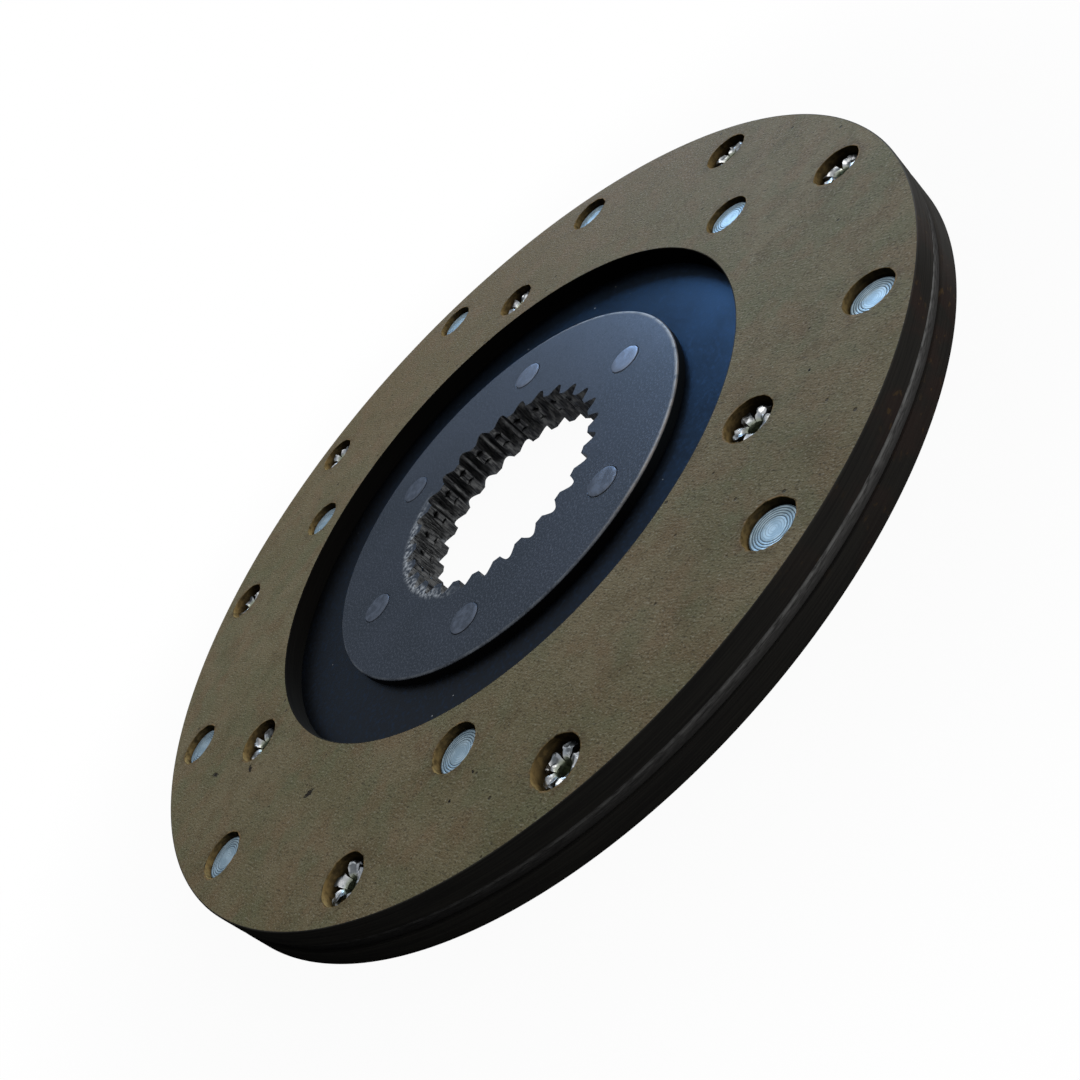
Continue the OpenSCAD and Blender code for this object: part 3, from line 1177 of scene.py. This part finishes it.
@dataclass
class FrictionLinings:
    """The two friction rings with their stepped rivet holes."""

    sizes: DiscSizes
    places: list[RivetPlace]
    mouth_edge: float = 0.14
    wall_steps: int = 4
    chip: float = 0.3
    chip_reach: float = 0.4

    def front(self) -> bpy.types.Object:
        """Models the front ring from its outlines.

        Returns:
            The ring, in millimetres.
        """
        s = self.sizes
        hole_r = s.shank_r + s.shank_gap
        # The ground face and the one below are filled between their outlines
        piece = start_ring("front_friction_ring", s.outer_r, s.face_z, RIM_SIDES)
        for z, radius in ((s.face_z, s.counterbore_r), (s.core_z, hole_r)):
            if z == s.core_z:
                add_ring(s.outer_r, z, RIM_SIDES)
            add_ring(s.inner_r, z, RIM_SIDES)
            for place in self.places:
                add_ring(radius, z, HOLE_SIDES, (place.x, place.y))
            pick(piece, Element.EDGE, lambda p: near(p.z, z))
            bpy.ops.mesh.fill(use_beauty=True)
        for radius in (s.outer_r, s.inner_r):
            pick(piece, Element.EDGE, lambda p: near(off_axis(p), radius), is_open)
            bpy.ops.mesh.bridge_edge_loops()
        self.sink_holes(piece, hole_r)
        close_and_face_outward()
        self.soften(piece)
        return piece

    def sink_holes(self, piece: bpy.types.Object, hole_r: float) -> None:
        """Sinks the counterbores and joins them to the shank holes below.

        Args:
            piece: The ring that is being edited.
            hole_r: Radius of the shank holes.
        """
        s = self.sizes
        pick(piece, Element.EDGE, lambda p: near(p.z, s.face_z), is_open)
        for _ in range(self.wall_steps):
            extrude_edges((0, 0, (s.seat_z - s.face_z) / self.wall_steps))
        for place in self.places:
            pick(
                piece,
                Element.EDGE,
                lambda p: near(p.z, s.seat_z) and place.distance(p) < s.counterbore_r + 0.1,
                is_open,
            )
            extrude_edges()
            scale_about(hole_r / s.counterbore_r, (place.x, place.y, s.seat_z))
        pick(piece, Element.EDGE, lambda p: near(p.z, s.seat_z), is_open)
        extrude_edges((0, 0, s.core_z - s.seat_z))

    def soften(self, piece: bpy.types.Object) -> None:
        """Breaks the edges of the face, and chips the mouths of the holes.

        Args:
            piece: The closed ring that is being edited.
        """
        s = self.sizes

        def at_mouth(point: Vector) -> bool:
            """True for a point of the face that lies off its inner and outer edge."""
            return near(point.z, s.face_z) and s.inner_r + 1 < off_axis(point) < s.outer_r - 1

        bevel(piece, lambda p: near(p.z, s.face_z) and not at_mouth(p), s.lining_edge)
        bevel(piece, at_mouth, self.mouth_edge)
        mesh = bmesh.from_edit_mesh(piece.data)
        for vertex in mesh.verts:
            place = min(self.places, key=lambda q: q.distance(vertex.co))
            away = place.distance(vertex.co)
            if vertex.co.z < s.face_z - 0.2 or away > s.counterbore_r + self.chip_reach:
                continue
            # Chips of about 2 mm, and ragged ends of fibre of 0.5 mm
            tear = noise.noise(Vector((vertex.co.x * 0.55, vertex.co.y * 0.55, place.number)))
            fine = noise.noise(Vector((vertex.co.x * 1.9, vertex.co.y * 1.9, 50 + place.number)))
            push = self.chip * (max(0.0, tear - 0.1) * 2.4 + max(0.0, fine) * 0.7)
            direction = Vector((vertex.co.x - place.x, vertex.co.y - place.y, 0)) / away
            vertex.co += direction * push * (1 if near(vertex.co.z, s.face_z) else 0.55)
        bmesh.update_edit_mesh(piece.data)

    def build(self, face: GroundFriction, cut: CutFriction) -> None:
        """Models both rings and dresses them.

        Args:
            face: Finish of the ground faces.
            cut: Finish of the rims and walls.
        """
        materials = [face.material(), cut.material()]
        front = self.front()
        leave_editing(front)
        back = copy_piece(front, "back_friction_ring")
        mirror_in_z(back)
        flat = self.sizes.face_z - 0.02
        for piece, node in ((front, "front_lining"), (back, "back_lining")):
            for polygon in piece.data.polygons:
                polygon.material_index = 0 if abs(polygon.center.z) > flat else 1
            finish_piece(piece)
            hand_over(piece, materials, "friction_lining", node)


@dataclass
class SteelPlates:
    """The core plate and the two hub plates, cut from sheet with one splined bore."""

    sizes: DiscSizes
    spline: Spline
    lining_places: list[RivetPlace]
    hub_places: list[RivetPlace]
    core_tooth_edge: float = 0.12
    hub_tooth_edge: float = 0.14
    crest_edge: float = 0.4
    rivet_hole_edge: float = 0.12
    notch: float = 0.7
    notch_r: float = 0.9

    def cut(
        self,
        name: str,
        radius: float,
        low: float,
        high: float,
        holes: Sequence[tuple[RivetPlace, float]],
    ) -> bpy.types.Object:
        """Cuts a plate from sheet.

        Args:
            name: The piece's name.
            radius: Radius of the plate.
            low: Height of its lower face.
            high: Height of its upper face.
            holes: The rivets that pass through it, each with the radius of its hole.

        Returns:
            The plate, in edit mode.
        """
        piece = start_ring(name, radius, low, RIM_SIDES)
        for place, hole_r in holes:
            add_ring(hole_r, low, HOLE_SIDES, (place.x, place.y))
        outline = self.spline.outline()
        add_ring(self.spline.tip_r, low, len(outline))
        mesh = bmesh.from_edit_mesh(piece.data)
        ring = sorted((v for v in mesh.verts if v.select), key=lambda v: v.index)
        start = math.atan2(ring[0].co.y, ring[0].co.x)
        clockwise = math.sin(math.atan2(ring[1].co.y, ring[1].co.x) - start) < 0
        for vertex, (x, y) in zip(ring, reversed(outline) if clockwise else outline):
            vertex.co.x, vertex.co.y = x, y
        bmesh.update_edit_mesh(piece.data)
        bpy.ops.mesh.select_mode(type="EDGE")
        bpy.ops.mesh.select_all(action="SELECT")
        bpy.ops.mesh.fill(use_beauty=True)
        bpy.ops.mesh.select_all(action="SELECT")
        bpy.ops.mesh.extrude_region_move(TRANSFORM_OT_translate={"value": (0, 0, high - low)})
        close_and_face_outward()
        return piece

    def build(self, core: BluedSteel, hub: HubSteel) -> None:
        """Models the three plates and dresses them.

        Args:
            core: Finish of the core plate.
            hub: Finish of the hub plates.
        """
        s = self.sizes
        shanks = [(p, s.hub_shank_r + s.shank_gap) for p in self.hub_places]
        holes = shanks + [(p, s.shank_r + s.shank_gap) for p in self.lining_places]
        piece = self.cut("core_disc", s.core_r, -s.core_z, s.core_z, holes)
        bevel(piece, lambda p: off_axis(p) > s.core_r - 1, s.core_edge)
        self.break_spline(piece, self.core_tooth_edge)
        finish_piece(piece)
        hand_over(piece, [core.material()], "core_steel", "core_plate")
        ends = [(p, s.hub_end_r + 0.02) for p in self.hub_places]
        rim_from, holes_from = s.hub_r - 1, s.hub_r - 20
        for name, node, low, high in (
            ("front_hub_disc", "front_hub_plate", s.core_z, s.front_hub_z),
            ("back_hub_disc", "back_hub_plate", -s.back_hub_z, -s.core_z),
        ):
            piece = self.cut(name, s.hub_r, low, high, ends)
            face = high if high > 0 else low
            bevel(piece, lambda p: near(p.z, face) and off_axis(p) > rim_from, s.hub_edge, 3)
            bevel(
                piece,
                lambda p: near(p.z, face) and rim_from > off_axis(p) > holes_from,
                self.rivet_hole_edge,
            )
            self.break_spline(piece, self.hub_tooth_edge)
            finish_piece(piece)
            hand_over(piece, [hub.material(abs(face))], "hub_steel", node)

    def break_spline(self, piece: bpy.types.Object, width: float) -> None:
        """Breaks the edges of the teeth, more on the tips where two plates meet.

        Args:
            piece: The plate that is being edited.
            width: Width of the broken edge.
        """
        s = self.sizes
        crests, teeth = self.spline.tip_r + 0.1, self.spline.root_r + 0.1
        bevel(piece, lambda p: near(abs(p.z), s.core_z) and off_axis(p) < crests, self.crest_edge, 1)
        bevel(piece, lambda p: off_axis(p) < teeth, width)
        pitch = math.tau / self.spline.teeth
        mesh = bmesh.from_edit_mesh(piece.data)
        for vertex in mesh.verts:
            radius = off_axis(vertex.co)
            turn = (math.atan2(vertex.co.y, vertex.co.x) - self.spline.first_groove) % pitch
            from_crest = math.hypot(radius * (turn - pitch / 2), abs(vertex.co.z) - s.core_z)
            if radius < self.spline.tip_r + 0.6 and from_crest < self.notch_r:
                vertex.co.xy *= 1 + self.notch * (1 - (from_crest / self.notch_r) ** 2) / radius
        bmesh.update_edit_mesh(piece.data)


@dataclass
class HubRivets:
    """The solid rivets through the hub, flush at both ends."""

    sizes: DiscSizes
    places: list[RivetPlace]
    dent: float = 0.05
    dents_per_mm: float = 0.45

    def build(self, finish: HammeredSteel) -> None:
        """Models one rivet, copies it to its places and dresses the copies.

        Args:
            finish: Their finish.
        """
        s = self.sizes
        material = finish.material()
        top, low = s.front_hub_z, -s.back_hub_z
        proud = s.hub_rivet_proud
        # Radius, and height above the plate's face, from the middle of an end to the shank
        end = [
            (0.05, proud),
            (1.4, proud),
            (2.7, proud - 0.01),
            (3.6, proud - 0.03),
            (s.hub_end_r - 0.16, proud - 0.09),
            (s.hub_end_r - 0.08, proud - 0.2),
            (s.hub_end_r - 0.08, -0.3),
            (s.hub_shank_r + 0.4, -s.hub_flare_depth + 0.4),
            (s.hub_shank_r, -s.hub_flare_depth),
        ]
        profile = [(r, top + z) for r, z in end] + [(r, low - z) for r, z in reversed(end)]
        model = turned("flush_rivet", profile)
        for place in self.places:
            piece = copy_piece(model, f"flush_rivet_{place.number}")
            draw = random.Random(place.number)
            for vertex in piece.data.vertices:
                if abs(vertex.co.z) > min(top, -low):
                    shift = Vector((place.number * 9, 0, 0))
                    push = self.dent * noise.noise(vertex.co * self.dents_per_mm + shift)
                    vertex.co.z += push * math.copysign(1, vertex.co.z)
            stand(piece, place, draw.uniform(0, math.tau))
            finish_piece(piece)
            hand_over(piece, [material], "hub_rivet_steel", f"hub_rivet_{place.number}")
        bpy.data.objects.remove(model)


@dataclass
class LiningRivets:
    """The tubular rivets: a turned flat head, and a tube split and curled into petals."""

    sizes: DiscSizes
    places: list[RivetPlace]
    petals: int = 5
    columns: int = 12
    rows: int = 13
    curl_r: float = 1.85
    taper: float = 0.68
    crumple: float = 0.5
    facets: float = 0.3
    sheet: float = 0.7
    groove_radii: tuple[float, ...] = (4.39, 3.84, 3.29, 2.74)
    groove_depth: float = 0.05
    groove_half: float = 0.14
    smooth_below: float = math.radians(24)

    def head(self) -> bpy.types.Object:
        """Turns the head and the shank with its tube.

        Returns:
            The piece, with its head up.
        """
        s = self.sizes
        top = s.seat_z + s.head_t
        profile: list[Point] = [(0.05, top - 0.03), (1.2, top - 0.02), (2.3, top)]
        for radius in reversed(self.groove_radii):
            profile += [
                (radius - self.groove_half, top),
                (radius, top - self.groove_depth),
                (radius + self.groove_half, top),
            ]
        profile += [
            (s.head_r - 0.2, top),
            (s.head_r - 0.05, top - 0.08),
            (s.head_r, top - 0.22),
            (s.head_r, s.seat_z),
            (s.shank_r, s.seat_z),
            (s.shank_r, -s.seat_z),
            (s.tube_bore_r, -s.seat_z),
            (s.tube_bore_r, s.tube_bottom - s.seat_z),
            (0.05, s.tube_bottom - s.seat_z),
        ]
        return turned("rivet_head", profile)

    def star(self, number: int) -> bpy.types.Object:
        """Curls the split end of the tube over, each petal in its own way.

        Args:
            number: The rivet's number, which settles how its petals fell.

        Returns:
            The petals, below the head.
        """
        s = self.sizes
        draw = random.Random(100 + number)
        starts = [math.tau / self.petals * (k + draw.uniform(-0.2, 0.2)) for k in range(self.petals)]
        # How far each petal curls, rises, leans to one side, tilts and folds along its middle
        reach, lift, lean, tilt, crease = (
            [draw.uniform(low, high) for _ in range(self.petals)]
            for low, high in ((0.66, 0.98), (0.7, 1.1), (-0.16, 0.16), (-0.8, 0.8), (-0.8, 0.5))
        )
        cells = self.columns + 1
        bpy.ops.object.select_all(action="DESELECT")
        bpy.ops.mesh.primitive_grid_add(
            x_subdivisions=self.petals * cells, y_subdivisions=self.rows, size=2
        )
        piece = bpy.context.object
        piece.name = piece.data.name = f"star_{number}"

        def place(point: Vector) -> tuple[int, int, int]:
            """The petal, column and row that a point of the flat grid belongs to."""
            column = round((point.x + 1) / 2 * self.petals * cells)
            return column // cells % self.petals, column % cells, round((point.y + 1) / 2 * self.rows)

        bpy.ops.object.mode_set(mode="EDIT")
        pick(piece, Element.FACE, lambda p: place(p)[1] in (0, self.columns) and place(p)[2] > 0)
        bpy.ops.mesh.delete(type="FACE")
        leave_editing(piece)
        # Each petal bends from the tube's rim, up and over, and its end lies on the lining
        for vertex in piece.data.vertices:
            petal, column, row = place(vertex.co)
            across = 2 * column / self.columns - 1
            half = (starts[(petal + 1) % self.petals] - starts[petal]) % math.tau / 2
            end = 1 + lean[petal] * across - 0.12 * across**4
            curl = reach[petal] * end * max(0, row - 1) / (self.rows - 1)
            bend = math.pi * (1 - curl)
            radius = s.tube_bore_r + self.curl_r * (1 + math.cos(bend))
            rise = self.curl_r * max(0.0, math.sin(bend)) ** 0.7 * lift[petal] if row else -0.4
            rise += (tilt[petal] * across + crease[petal] * (1 - abs(across))) * curl * math.sin(bend)
            angle = starts[petal] + half + across * half * (s.tube_bore_r / radius) ** self.taper
            x, y = radius * math.cos(angle), radius * math.sin(angle)
            wrinkle = wrinkle_at(Vector((x, y, 7 * number)) * 0.95)
            wrinkle = wrinkle * self.crumple * min(1.0, 2 * curl)
            x, y, rise = x + 0.6 * wrinkle.x, y + 0.6 * wrinkle.y, rise + wrinkle.z
            inside = min(1.0, (s.counterbore_r - 0.15) / math.hypot(x, y))
            vertex.co = (x * inside, y * inside, -s.seat_z - rise)
        bpy.ops.object.mode_set(mode="EDIT")
        close_and_face_outward()
        leave_editing(piece)
        apply_modifier(piece, "DECIMATE", ratio=self.facets)
        outermost = min(piece.data.polygons, key=lambda f: f.center.z)
        if outermost.normal.z > 0:
            piece.data.flip_normals()
        apply_modifier(piece, "SOLIDIFY", thickness=self.sheet, offset=-1, use_even_offset=False)
        for vertex in piece.data.vertices:
            vertex.co.z = min(vertex.co.z, -s.seat_z + 0.5)
        return piece

    def mark(self, piece: bpy.types.Object) -> None:
        """Writes where the hollow and the low places are, and the distance from the axis.

        Args:
            piece: A rivet on the Z axis, its head up.
        """
        s = self.sizes
        attributes = piece.data.attributes
        for name in (HOLLOW, LOW_SHADE, TURNED_R):
            attributes.new(name, "FLOAT", "POINT")
        # The hollow fades out 0.75 mm outside the bore, and the painted shade lies within 1.1 mm of
        # the seat
        for vertex in piece.data.vertices:
            away, above, in_star = off_axis(vertex.co), -vertex.co.z - s.seat_z, vertex.co.z < 0
            deep = min(1.0, max(0.0, (s.tube_bore_r + 0.75 - away) / 0.7))
            low = min(1.0, max(0.0, 1.1 - above)) if away > s.tube_bore_r + 0.6 else 0.0
            attributes[HOLLOW].data[vertex.index].value = deep if in_star else 0.0
            attributes[LOW_SHADE].data[vertex.index].value = low if in_star else 0.0
            attributes[TURNED_R].data[vertex.index].value = away if vertex.co.z > s.seat_z else 0.0

    def build(self, finish: ZincPlate) -> None:
        """Models the rivets, sets them in their places and dresses them.

        Args:
            finish: Their finish.
        """
        material = finish.material()
        model = self.head()
        for place in self.places:
            piece = copy_piece(model, f"tubular_rivet_{place.number}")
            star = self.star(place.number)
            draw = random.Random(300 + place.number)
            # No two heads were pressed down alike
            angle, lift = draw.uniform(0, math.tau), draw.uniform(-0.2, 0.3)
            for vertex in piece.data.vertices:
                if vertex.co.z > self.sizes.seat_z + 0.1:
                    vertex.co.z += lift
            leave_editing(piece)
            star.select_set(True)
            bpy.ops.object.join()
            self.mark(piece)
            if place.head is Side.BACK:
                mirror_in_z(piece)
            stand(piece, place, angle)
            finish_piece(piece, self.smooth_below)
            hand_over(piece, [material], "plated_rivet_steel", f"lining_rivet_{place.number}")
        bpy.data.objects.remove(model)


# Studio


@dataclass(frozen=True)
class Lamp:
    """A square soft lamp that looks at the disc.

    Its direction is given in degrees, from +X towards +Y and above the horizon, its distance
    and its side in metres, and its power in watts.
    """

    azimuth: float
    elevation: float
    distance: float
    size: float
    power: float
    tint: str

    def hang(self, name: str) -> None:
        """Adds the lamp to the scene.

        Args:
            name: Its name.
        """
        data = bpy.data.lights.new(name, "AREA")
        data.shape = "SQUARE"
        data.size = self.size
        data.energy = self.power
        data.color = linear(self.tint)[:3]
        lamp = bpy.data.objects.new(name, data)
        a, e = math.radians(self.azimuth), math.radians(self.elevation)
        way = Vector((math.cos(a) * math.cos(e), math.sin(a) * math.cos(e), math.sin(e)))
        lamp.location = self.distance * way
        lamp.rotation_euler = lamp.location.to_track_quat("Z", "Y").to_euler()
        bpy.context.scene.collection.objects.link(lamp)


@dataclass(frozen=True)
class PhotoCamera:
    """The camera where the photograph was taken, found from the circles of the disc.

    Its right and up are directions, its place is in millimetres from the middle of the disc,
    and its lens and sensor are in millimetres too.
    """

    right: tuple[float, float, float] = (0.05693, -0.73530, -0.67535)
    up: tuple[float, float, float] = (0.64582, -0.48873, 0.58656)
    place: tuple[float, float, float] = (-243.199, -146.276, 128.607)
    lens: float = 44.679
    sensor: float = 36

    def set_up(self) -> None:
        """Adds the camera and looks through it."""
        data = bpy.data.cameras.new("photo_camera")
        data.sensor_width = self.sensor
        data.lens = self.lens
        data.clip_start, data.clip_end = 0.01, 100
        camera = bpy.data.objects.new("photo_camera", data)
        right, up = Vector(self.right), Vector(self.up)
        back = right.cross(up).normalized()
        turn = Matrix((right, up, back)).transposed()
        camera.matrix_world = Matrix.Translation(Vector(self.place) * MM) @ turn.to_4x4()
        bpy.context.scene.collection.objects.link(camera)
        bpy.context.scene.camera = camera


@dataclass(frozen=True)
class Studio:
    """The pale floor, the soft lamps and the white air round them.

    The floor looks white, and what the disc's shadow takes from it fades out from shadow_r to
    clear_r, in metres.
    """

    floor_z: float = -DiscSizes.face_z
    floor_side: float = 30
    paper: str = "#989898"
    shade_share: float = 0.96
    shadow_r: float = 0.1
    clear_r: float = 0.22
    camera: PhotoCamera = PhotoCamera()
    key: Lamp = Lamp(azimuth=-20, elevation=60, distance=0.9, size=0.5, power=2.95, tint="#fffaf2")
    window: Lamp = Lamp(azimuth=4, elevation=20, distance=1.0, size=0.3, power=7.8, tint="#bddfff")
    fill_azimuth: float = -74.0
    fill_bright: float = 0.9
    fill_dim: float = 0.0
    fill_band: tuple[float, float] = (-0.25, 0.95)

    @staticmethod
    def seen_directly(tree: bpy.types.NodeTree) -> Socket:
        """Tells what the camera sees, itself or in metal, from what lights the disc.

        Args:
            tree: The node tree that needs it.

        Returns:
            1 for what is seen, and 0 for light on the disc.
        """
        seen = add_node(tree, "LightPath", out="Is Camera Ray")
        for other in (seen.node.outputs["Is Glossy Ray"], seen.node.outputs["Is Transmission Ray"]):
            seen = add_node(tree, "Math", [seen, other], operation="MAXIMUM")
        return seen

    def floor(self) -> None:
        """Lays a plain white floor, which keeps the shadow of the disc."""
        bpy.ops.object.select_all(action="DESELECT")
        bpy.ops.mesh.primitive_plane_add(size=self.floor_side, location=(0, 0, self.floor_z * MM))
        piece = bpy.context.object
        piece.name = "studio_floor"
        bpy.ops.object.transform_apply(location=True, rotation=True, scale=True)
        material = bpy.data.materials.new("matt_white_paper")
        material.use_nodes = True
        tree = material.node_tree
        tree.nodes.clear()
        add = partial(add_node, tree)
        away = add("VectorMath", [add("TexCoord", out="Object")], "Value", operation="LENGTH")
        fade = [away, self.shadow_r, self.clear_r, self.shade_share, 1.0]
        far = add("MapRange", fade, interpolation_type="SMOOTHSTEP")
        share = add("Math", [self.seen_directly(tree), far], operation="MULTIPLY")
        paper = add("BsdfDiffuse", [self.paper])
        glow = add("Emission", ["#ffffff", 1.0])
        add("OutputMaterial", [add("MixShader", [share, paper, glow])])
        piece.data.materials.append(material)

    def world(self) -> None:
        """Fills in softly from all round, more from one side, behind a white backdrop."""
        world = bpy.data.worlds.new("studio_air")
        bpy.context.scene.world = world
        world.use_nodes = True
        tree = world.node_tree
        tree.nodes.clear()
        add = partial(add_node, tree)
        a = math.radians(self.fill_azimuth)
        way = add("TexCoord", out="Generated")
        fill = (math.cos(a), math.sin(a), 0.0)
        side = add("VectorMath", [way, fill], "Value", operation="DOT_PRODUCT")
        level = add("MapRange", [side, *self.fill_band, self.fill_dim, self.fill_bright])
        level = add("Mix", {0: self.seen_directly(tree), 2: level, 3: 1.0}, data_type="FLOAT")
        add("OutputWorld", [add("Background", ["#ffffff", level])])

    def build(self) -> None:
        """Sets up floor, lamps, world, camera and view."""
        self.floor()
        self.key.hang("key_softbox")
        self.window.hang("window_softbox")
        self.world()
        self.camera.set_up()
        bpy.context.scene.view_settings.view_transform = "Standard"


def main() -> None:
    """Builds the disc and the studio, piece by piece."""
    logging.basicConfig(level=logging.INFO, format="%(name)s %(message)s")
    sizes, spline, pattern = DiscSizes(), Spline(), RivetPattern()
    lining_places = pattern.lining_rivets()
    hub_places = pattern.hub_rivets(sizes)
    Studio().build()
    FrictionLinings(sizes, lining_places).build(GroundFriction(), CutFriction())
    SteelPlates(sizes, spline, lining_places, hub_places).build(BluedSteel(), HubSteel())
    HubRivets(sizes, hub_places).build(HammeredSteel())
    LiningRivets(sizes, lining_places).build(ZincPlate())


if __name__ == "__main__":
    main()
